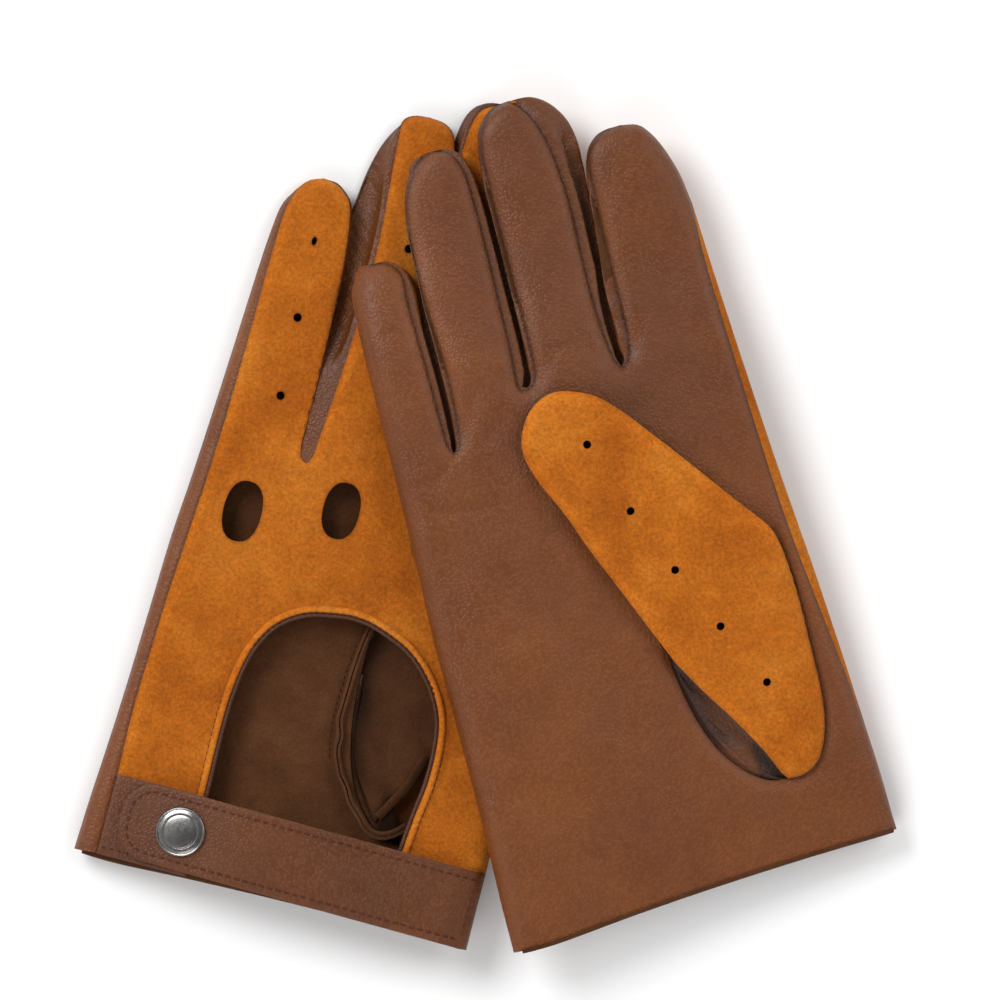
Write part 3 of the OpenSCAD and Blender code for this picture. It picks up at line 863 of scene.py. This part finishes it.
def tab():
    loop = joined(across((-54.6, 0.3), (-54.4, 25)), across((-54.4, 25), (-27.4, 25)),
                  across((-27.4, 25), (-27.2, 0.3)), across((-27.2, 0.3), (-54.6, 0.3)))[:-1]
    p, f = triangulate([loop])
    d = near_loops(loop).distance(p)
    v = columns(p, TAB_H + 0.5 * (1 - dome(d, 1.0)))
    return shell(v, f[:, ::-1], 0.8)


def tab_stitches():
    line = across((-53.6, 2.6), (-28.5, 2.6))
    return stitches(columns(line, np.full(len(line), TAB_H)), BACK_UP, 2.4, 1.4)


# ---------- strap and snap ----------

STRAP_OUT = -3.4        # the strap's outer face
STRAP_IN = -1.6         # its inner face
SNAP = (-31.7, 13.0)
HINGE_U = 56.2


def strap_top(u):
    return 25.3 - (u + 50) / 110 * 2.2


def strap_bottom(u):
    return 1.7 - (u + 50) / 110 * 2.2


def strap_loop(inset, end=60.2):
    """The strap's outline less an inset: round the free end to its foot, up the sewn end, and back."""
    r = 9.5 - inset
    x0, y0, y1 = -50.3 + inset, strap_bottom(-45) + inset, strap_top(-45) - inset
    a = np.linspace(0, math.pi / 2, 10)
    right_top = (end, strap_top(end) - inset)
    right_low = (end, strap_bottom(end) + inset)
    low = columns(x0 + r - r * np.cos(a), y0 + r - r * np.sin(a))
    top = columns(x0 + r - r * np.sin(a), y1 - r + r * np.cos(a))
    around = resample(joined(top, low, [low[-1], right_low]), 1.2)
    return around, across(right_low, right_top), resample([right_top, top[0]], 1.2)


def strap_height(p):
    """The strap's outer face: it lies over the tab, is tight at its sewn end and turns down there."""
    u = p[:, 0]
    w = STRAP_OUT - 0.25 * bump(u, SNAP[0], 16) + 0.16 * rough(p, 16, 6.1)
    edge = -1.45 + 4.4 * (1 - dome(60.35 - u, 5.5))
    return np.where(u > 50, w + (edge - w) * smooth(u, 51, 57), w)


def strap():
    loop = joined(*strap_loop(0))[:-1]
    p, f = triangulate([loop])
    d = near_loops(loop).distance(p)
    groove = 0.16 * bump(d, 2.5, 0.55) * (p[:, 0] < 56)
    w = strap_height(p) + 0.5 * (1 - dome(d, 0.9)) + groove
    return shell(columns(p, w), f[:, ::-1], 1.15, inner=0)


def lining():
    p, f = triangulate([joined(*strap_loop(0.35, 56.5))[:-1]])
    return shell(columns(p, strap_height(p) + 1.2), f[:, ::-1], 0.55, inner=0)


def strap_stitches():
    around, _, top = strap_loop(2.5, 57.6)
    out = Part()
    for line in (around, top, across((57.7, strap_top(57) - 2.5), (57.7, strap_bottom(57) + 2.5))):
        v = columns(line, strap_height(line) + 0.05)
        out = out + stitches(v, BACK_UP, 2.65, 1.5, 0.32, 0.24)
    return out


def cap():
    """Plain domed cap: a rolled bright rim, a turned groove and a low dome."""
    profile = [(0.01, 1.75), (1.2, 1.74), (2.4, 1.70), (3.4, 1.64), (4.4, 1.55), (4.75, 1.50), (4.95, 1.42),
               (5.15, 1.42), (5.35, 1.47), (6.0, 1.36), (6.5, 1.22), (6.8, 1.10), (6.95, 1.22), (7.15, 1.22),
               (7.35, 1.02), (7.42, 0.7), (7.4, 0.35), (7.2, 0.05), (6.6, -0.1), (0.01, -0.1)]
    return lathe(profile, (*SNAP, float(strap_height(np.array([SNAP]))[0])))


def socket():
    profile = [(2.55, 0.0), (2.7, 0.18), (3.4, 0.22), (4.5, 0.15), (4.8, -0.1), (4.8, -0.5), (2.55, -0.5),
               (2.55, 0.0)]
    return lathe(profile, (*SNAP, STRAP_IN + 0.1), up=1.0, sides=36)


def stud():
    profile = [(0.01, 2.0), (1.2, 1.98), (1.9, 1.8), (2.25, 1.4), (2.1, 1.0), (2.0, 0.45), (2.4, 0.35),
               (4.1, 0.3), (4.3, 0.1), (4.3, -0.05), (0.01, -0.05)]
    return lathe(profile, (*SNAP, TAB_H), sides=36)


def rivet():
    profile = [(0.01, 0.55), (1.0, 0.52), (1.3, 0.3), (2.0, 0.35), (3.6, 0.4), (4.2, 0.25), (4.3, 0.0),
               (4.2, -0.1), (0.01, -0.1)]
    return lathe(profile, (*SNAP, 0.9), up=1.0, sides=36)


# ---------- thumb ----------

thumb_free = spline(THUMB_FREE)
thumb_fold = spline(THUMB_FOLD)
thumb_sewn = spline(THUMB_SEWN)
thumb_loop = joined(thumb_free, thumb_fold, thumb_sewn)[:-1]
thumb_edge = near_loops(thumb_loop)
THUMB_BASE = HAND_H + 0.5


def sewn_side(p):
    """1 where the thumb is sewn down on the palm, along the thumb side."""
    return smooth(p[:, 0] - 20 - 0.28 * (p[:, 1] - 24), 8, 15) * smooth(p[:, 1], 106, 92)


def thumb_edge_height(q):
    """Height of the thumb's edge: free and rolled, but sewn down on the palm along the thumb side."""
    tied = np.maximum(sewn_side(q), smooth(q[:, 1], 40, 26))
    return THUMB_BASE + 2.9 * (1 - tied) - 0.75 * tied


THUMB_EDGE_H = thumb_edge_height(thumb_edge.points)
THUMB_HOLES = [(4.3, 139.2), (10.8, 116.2), (18.3, 95.3), (26.3, 75), (34.7, 54.7)]


def thumb_top(p):
    d, k = thumb_edge.find(p)
    edge = THUMB_EDGE_H[k]
    top = THUMB_BASE + 5.6 - 1.5 * smooth(p[:, 1], 70, 25) - 0.5 * smooth(p[:, 1], 130, 160)
    w = edge + (top - edge) * dome(d, 7.5)
    w += 0.4 * rough(p, 17, 1.7) * smooth(d, 1, 8) + 0.12 * rough(p, 6, 9.9) * smooth(d, 1, 4)
    hollow = bump((p[:, 0] - 14) * 0.87 + (p[:, 1] - 88) * 0.5, 0, 9) * smooth(p[:, 1], 130, 100)
    return w - 0.8 * hollow * smooth(d, 3, 9)


def thumb_under(p):
    d, k = thumb_edge.find(p)
    edge = THUMB_EDGE_H[k]
    low = THUMB_BASE - 0.15
    folded = smooth(p[:, 1], 80, 72) * smooth(p[:, 0], 40, 34)
    low = low - 0.9 * folded * smooth(thumb_seam_line.distance(p), 12, 5)
    low = low - 0.7 * smooth(p[:, 1], 52, 38)
    edge = edge - 0.6 * smooth(p[:, 1], 44, 34)
    return edge + (low - edge) * np.maximum(dome(d, 3.5), folded)


def thumb_front():
    p, f = triangulate([thumb_loop] + [ring(h, 2.5, 2.5, 14) for h in THUMB_HOLES], 1.3)
    return shell(columns(p, thumb_top(p)), f)


V_SEAM = [(24, 30), (27, 35), (29.7, 40), (32, 45), (35, 52), (38.5, 60), (43, 68), (51.5, 76)]
UNDER_EDGE = [(10, 69), (11.2, 66), (11.3, 60), (12, 52.5), (14, 46), (17, 40.5), (20.5, 35.5), (24, 30)]
under_edge = Near(np.vstack([[(11, 84)], spline(UNDER_EDGE)]))


def thumb_gusset():
    """Leather side of the thumb: its underside, and apart from it the fold that joins it to the palm."""
    upper = thumb_sewn[thumb_sewn[:, 1] >= 76]
    lower = spline([thumb_free[-1]] + UNDER_EDGE[1:])
    seam = spline(V_SEAM[:-1] + [upper[0]])
    loop = joined(thumb_free, lower, seam, upper)[:-1]
    p, f = triangulate([loop], 1.6)
    under = shell(columns(p, thumb_under(p)), f[:, ::-1], THIN)
    middle = np.array([under.v[list(t)].mean(0)[:2] for t in under.f])
    under.m = [1 if hidden else m for hidden, m in zip(inside(middle, [thumb_hole]), under.m)]
    fold_top = resample(thumb_fold, count=70)
    fold_low = resample(spline(GUSSET_SEAM), count=70)
    top3 = columns(fold_top, thumb_edge_height(fold_top) - 0.45)
    low3 = columns(fold_low, plain.palm_height(fold_low) - 0.1)
    s = np.linspace(0, 1, 70)
    full = np.sin(math.pi * s) ** 0.6
    under_way = normals_3d(fold_top)
    rows = []
    for t in np.linspace(0, 1, 19):
        line = top3 * (1 - t) + low3 * t
        line += under_way * (2.2 * bump(t, 0.2, 0.14) * full)[:, None]
        line[:, 2] += full * (-1.2 * bump(t, 0.3, 0.2) + 1.2 * bump(t, 0.76, 0.16))
        line[:, 2] += 0.45 * full * np.sin(s * 17 + 6 * t) * bump(s, 0.5, 0.3) * bump(t, 0.5, 0.22)
        line[:, 2] -= 0.5 * bump(t, 0.97, 0.05)
        rows.append(line)
    return under, loft(rows, THIN, flip=True)


def seam_allowance():
    """Inside the hand: the two raw edges that stand up round the thumb hole, and their stitches."""
    path = spline([(10.6, 93), (9.7, 86), (8.8, 80), (8.1, 73), (7.6, 66), (7.4, 60), (7.8, 54), (8.8, 48),
                   (10.6, 43.8), (13.2, 39.3), (16.4, 35), (19.8, 31.6), (22.6, 28.8), (24.8, 27.5),
                   (27.2, 27.6), (30, 29), (33, 31.8)], 0.8)
    s = np.linspace(0, 1, len(path))
    wave = 0.5 * np.sin(s * 34) * bump(s, 0.55, 0.16) + 0.25 * np.sin(s * 61) * bump(s, 0.6, 0.2)
    out3 = normals_3d(path)
    foot = columns(path, HAND_H - 0.6 - 1.3 * smooth(path[:, 1], 37, 30))
    lean_in = 0.35 + 0.3 * np.sin(s * 9)
    both = Part()
    for shift, tall in ((-0.2, 3.0), (0.95, 3.5)):
        rows = []
        for t in np.linspace(0, 1, 6):
            rows.append(foot - out3 * (shift + (lean_in * t + wave * t * t))[:, None] - PALM_UP * (tall * t))
        both = both + loft(rows, 0.75, inner=0)
    line = columns(path, np.full(len(path), HAND_H - 1.15)) - out3 * 3.4
    return both, stitches(line[4:60], BACK_UP, 2.1, 1.0, 0.22, 0.2)


def v_seam_allowance():
    """Inside the hand: the raw edge along the V-shaped seam beside the thumb hole, and its stitches."""
    path = spline([(25.2, 31.2), (27, 34.2), (29.3, 38.3), (31.8, 43), (33.6, 48.5), (35, 53)], 0.8)
    foot = columns(path, HAND_H + 0.1 - 1.5 * smooth(path[:, 1], 40, 31))
    out3 = normals_3d(path)
    rows = [foot - PALM_UP * 1.5 * math.sin(math.pi * t / 2) + out3 * (2.0 * t) for t in np.linspace(0, 1, 6)]
    return loft(rows, 0.7, inner=0), stitches(rows[3][7:] - PALM_UP * 0.1, BACK_UP, 2.0, 1.1, 0.22, 0.2)


# ---------- the pair ----------

names = ("ring_pinky", "middle_ring", "index_middle")
parts = {make.__name__: make() for make in (
    hem, binding, opening_rim, arch_stitches, tab, tab_stitches, strap, lining, strap_stitches, cap,
    socket, stud, rivet, thumb_front, thumb_gusset)}
allowance, allowance_thread = seam_allowance()
v_allowance, v_thread = v_seam_allowance()


def at(glove, u, v, w):
    """One point of a glove in the shared frame."""
    return tuple(glove.row(np.array([[u, v, w]]))[0])


def even(tone):
    return lambda v: np.full(len(v), tone)


FAR = 99                # distance to a seam that a corner has nothing to do with


def leather_tone(hand):
    """Painted shade along its seams and round the thumb seam, a little lighter beside them, and painted shade
    toward the index finger and at the roots of the middle fingers.
    """
    def tone(v):
        back = np.where(v[:, 2] < HAND_H / 2, back_seam_line.distance(v), FAR)
        d = np.minimum(hand.palm_seams.distance(v), palm_seam_line.distance(v))
        d = np.minimum(np.minimum(d, thumb_seam_line.distance(v)), back)
        # painted shade toward the index finger and at the roots of the middle fingers
        painted_shade = 0.13 * smooth(v[:, 1], 90, 150) * smooth(v[:, 0], -50, 5)
        painted_shade = painted_shade + 0.06 * bump(v[:, 1], 150, 15) * bump(v[:, 0], -6, 20)
        # painted shade in the seam lines, a little lighter beside them
        return 0.54 - painted_shade - 0.3 * bump(d, 0, 0.6) + 0.06 * bump(d, 2.2, 1.1)
    return tone


def suede_tone(hand):
    """Lighter along its edges, with painted shade right at its seams and at the edges of the holes."""
    rims = near_loops(*BACK_HOLES)

    def tone(v):
        d = np.minimum(hand.back_seams.distance(v), hand.silhouette.distance(v))
        d = np.where(v[:, 2] < HAND_H / 2, np.minimum(d, back_seam_line.distance(v)), FAR)
        # lighter a little way in from the edges; painted shade right at the seams
        edges = 0.12 * bump(d, 1.3, 1.3) - 0.12 * bump(d, 0, 0.4)
        # painted shade at the holes' edges
        return 0.5 + edges - 0.22 * bump(rims.distance(v), 0, 0.45)
    return tone


# The thumb's suede: a little lighter overall, a painted highlight along its rolled edge, and painted shade
# along the edge where it is sewn down on the palm.
def thumb_tone(v):
    d = thumb_edge.distance(v)
    sewn = sewn_side(v)
    return 0.57 + 0.14 * bump(d, 1.6, 1.6) * (1 - 0.6 * sewn) - 0.3 * sewn * bump(d, 0, 0.5)


# The thumb's leather side: a little darker overall, with painted shade along the thumb seam, under the
# thumb's edge, along the edge of its underside inside the hand and right of the V seam.
def gusset_tone(v):
    tone = 0.42 - 0.22 * bump(thumb_seam_line.distance(v), 0, 1.0)
    tone = tone - 0.1 * bump(thumb_edge.distance(v), 0, 2.5)
    tone -= 0.36 * bump(under_edge.distance(v), 0, 4) * smooth(v[:, 1], 36, 44)
    return tone - 0.36 * smooth(v[:, 1], 41, 36) * smooth(v[:, 0], 23.5, 26)


for g in GLOVES:
    hand = hands[g.side]
    palm_part, back_part = hand.sheets()
    piece(g, "palm", palm_part, "glove", "palm_leather", [PALM, FLESH], ["palm_panel"], leather_tone(hand))
    piece(g, "back", back_part, "glove", "suede", [SUEDE, FLESH], ["back_panel"], suede_tone(hand))
    for i, name in enumerate(names):
        # the side walls get painted shade along the palm seams
        piece(g, "side_" + name, hand.fourchette(i), "glove", "fourchette_leather", [SIDE, FLESH],
              ["fourchette_" + name], lambda v: 0.5 - 0.25 * bump(hand.palm_seams.distance(v), 0, 0.6))
    piece(g, "finger_thread", hand.finger_stitches(), "glove", "thread", [THREAD])
    # the rim's lighter colour and tone are a painted highlight
    piece(g, "opening_rim", parts["opening_rim"], "glove", "suede", [SUEDE_RIM_HIGHLIGHT], (), even(0.6))
    piece(g, "hem", parts["hem"], "glove", "palm_leather", [PALM, FLESH], ["cuff_hem"])
    piece(g, "binding", parts["binding"], "glove", "trim_leather", [TRIM], ["opening_binding"],
          even(0.24))
    piece(g, "opening_thread", parts["arch_stitches"], "glove", "thread", [THREAD], ["opening_stitching"])
    piece(g, "tab", parts["tab"], "glove", "trim_leather", [TRIM], ["stud_tab"])
    piece(g, "tab_thread", parts["tab_stitches"], "glove", "thread", [THREAD], ["tab_stitching"])
    piece(g, "stud", parts["stud"], "glove", "snap_steel", [STEEL], ["snap_stud"])
    piece(g, "rivet", parts["rivet"], "glove", "snap_steel", [STEEL], ["stud_rivet"])
    piece(g, "thumb_seam", allowance + v_allowance, "glove", "leather_inside", [FLESH])
    piece(g, "thumb_seam_thread", allowance_thread + v_thread, "glove", "thread", [THREAD])

    band = piece(g, "strap", parts["strap"], None, "strap_leather", [STRAP], ["strap", "strap_anchor"])
    at(g, HINGE_U + 1.2, 12, STRAP_OUT)
    at(g, HINGE_U - 2.5, 12, STRAP_OUT)
    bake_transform(band)
    piece(g, "lining", parts["lining"], "strap", "leather_inside", [FLESH], ["strap_lining"])
    piece(g, "strap_thread", parts["strap_stitches"], "strap", "thread", [THREAD], ["strap_stitching"])
    piece(g, "cap", parts["cap"], "strap", "snap_cap", [CAP], ["snap_cap"])
    piece(g, "socket", parts["socket"], "strap", "snap_steel", [STEEL], ["snap_socket"])

    front = piece(g, "thumb_front", parts["thumb_front"], None, "suede", [SUEDE, SUEDE_IN], ["thumb_front"],
                  thumb_tone)
    under_part, fold_part = parts["thumb_gusset"]
    under = piece(g, "thumb_under", under_part, None, "fourchette_leather", [SIDE, FLESH], (), gusset_tone)
    fold = piece(g, "thumb_gusset", fold_part, None, "fourchette_leather", [SIDE, FLESH],
                 ["thumb_gusset"], gusset_tone)
    at(g, 20, 60, 9.4)
    at(g, 20, 60, 11.9)
    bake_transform(fold)
    for obj in (front, under):
        at(g, 39, 30, 12)
        at(g, 25, 76, 12)
        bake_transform(obj)


# ---------- floor, light, camera ----------

def stage():
    size = 3.0
    mesh = bpy.data.meshes.new("floor")
    corners = [(-size, -size, 0), (size, -size, 0), (size, size, 0), (-size, size, 0)]
    mesh.from_pydata(corners, [], [(0, 1, 2, 3)])
    obj = add_object("floor", mesh)
    m = Nodes("floor", Roughness=0.9, Specular_IOR_Level=0.1)
    m.shader.inputs["Base Color"].default_value = (0.98, 0.98, 0.98, 1)
    mesh.materials.append(m.mat)


def area_light(name, place, size, energy):
    """A round light that shines at the middle of the pair."""
    data = bpy.data.lights.new(name, "AREA")
    data.shape = "DISK"
    data.size = size
    data.energy = energy
    obj = add_object(name, data)
    obj.location = place
    obj.rotation_euler = (-Vector(place)).to_track_quat("-Z", "Y").to_euler()


def studio():
    world = bpy.data.worlds.new("studio")
    world.use_nodes = True
    tree = world.node_tree
    place = tree.nodes.new("ShaderNodeTexCoord")
    split = tree.nodes.new("ShaderNodeSeparateXYZ")
    ramp = tree.nodes.new("ShaderNodeValToRGB")
    for end, position, grey in zip(ramp.color_ramp.elements, (0.45, 0.95), (1, 0.3)):
        end.position = position
        end.color = (grey, grey, grey, 1)
    tree.links.new(place.outputs["Generated"], split.inputs[0])
    tree.links.new(split.outputs["Z"], ramp.inputs["Fac"])
    tree.links.new(ramp.outputs["Color"], tree.nodes["Background"].inputs["Color"])
    tree.nodes["Background"].inputs["Strength"].default_value = 0.8
    bpy.context.scene.world = world
    area_light("key", (-0.8, 0.7, 1.15), 0.8, 13)
    area_light("side", (0.95, 0.5, 1.1), 1.0, 6)
    area_light("front", (-0.35, -1.0, 1.1), 1.0, 5)


def camera():
    data = bpy.data.cameras.new("camera")
    data.lens = 480
    data.sensor_width = 36
    obj = add_object("camera", data)
    obj.location = (0.00372, 0.00737, 0.018 + 4.0)      # 4 m over the pair's middle height
    bpy.context.scene.camera = obj


stage()
studio()
camera()
bpy.context.scene.view_settings.view_transform = "Standard"
